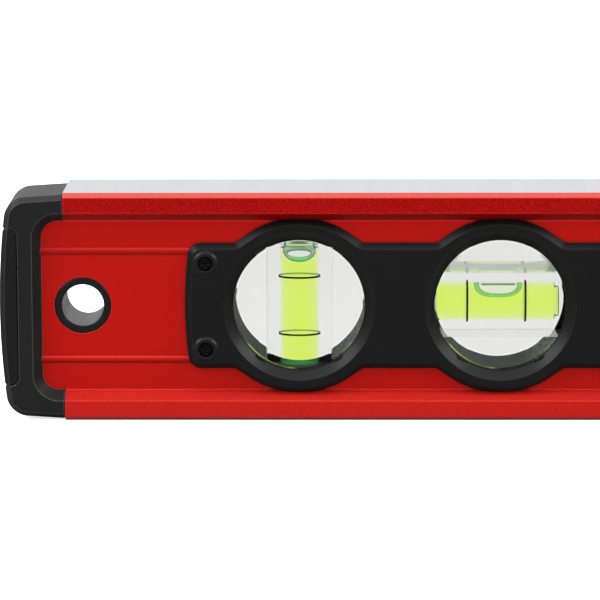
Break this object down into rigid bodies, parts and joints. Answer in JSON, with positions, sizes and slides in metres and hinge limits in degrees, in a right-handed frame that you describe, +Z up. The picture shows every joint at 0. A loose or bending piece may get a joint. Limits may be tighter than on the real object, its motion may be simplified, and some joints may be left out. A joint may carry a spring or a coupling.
{
  "type": "torpedo spirit level",
  "caption": "Short I-beam spirit level with round windows over block vials, black covers, end caps with rubber bumpers, a hanging hole and bubbles that slide along their vials.",
  "frame": {"origin": "middle of the bottom working face", "axes": "+X along the level to the end without the hanging hole, +Y from the front cover to the rear cover, +Z up to the top working face"},
  "size_m": [0.2286, 0.024, 0.0526],
  "materials": {
    "red_anodised": "red anodised and satin, with milled bare metal on the top and bottom faces",
    "black_plastic": "fine moulded texture",
    "black_rubber": "smooth matte",
    "black_screw": "black oxide",
    "clear_acrylic": "clear and polished",
    "reading_line": "plain black",
    "vial_fluid": "clear yellow-green liquid",
    "bubble": "air in liquid"
  },
  "bodies": {
    "level": {"beam": "red_anodised", "front_cover": "black_plastic", "rear_cover": "black_plastic", "cover_screws": "black_screw", "hang_bush_front": "black_plastic", "hang_bush_rear": "black_plastic", "end_cap_left": "black_plastic", "end_cap_right": "black_plastic", "bumper_left": "black_rubber", "bumper_right": "black_rubber", "plumb_sleeve": "black_plastic", "plumb_lens_front": "clear_acrylic", "plumb_lens_rear": "clear_acrylic", "plumb_vial_block": "clear_acrylic", "plumb_vial_plug": "clear_acrylic", "plumb_vial_lines": "reading_line", "plumb_vial_fluid": "vial_fluid", "level_sleeve": "black_plastic", "level_lens_front": "clear_acrylic", "level_lens_rear": "clear_acrylic", "level_vial_block": "clear_acrylic", "level_vial_plug": "clear_acrylic", "level_vial_lines": "reading_line", "level_vial_fluid": "vial_fluid", "angle_sleeve": "black_plastic", "angle_lens_front": "clear_acrylic", "angle_lens_rear": "clear_acrylic", "angle_vial_block": "clear_acrylic", "angle_vial_plug": "clear_acrylic", "angle_vial_lines": "reading_line", "angle_vial_fluid": "vial_fluid"},
    "plumb_bubble": {"plumb_bubble": "bubble"},
    "level_bubble": {"level_bubble": "bubble"},
    "angle_bubble": {"angle_bubble": "bubble"}
  },
  "joints": [
    {"name": "level_bubble_slide", "type": "slide", "parent": "level", "child": "level_bubble", "axis": [1, 0, 0], "range_m": [-0.0081, 0.0073]},
    {"name": "plumb_bubble_slide", "type": "slide", "parent": "level", "child": "plumb_bubble", "axis": [0, 0, 1], "range_m": [-0.0235, 0]},
    {"name": "angle_bubble_slide", "type": "slide", "parent": "level", "child": "angle_bubble", "axis": [-0.7071, 0, 0.7071], "range_m": [-0.0235, 0]}
  ]
}
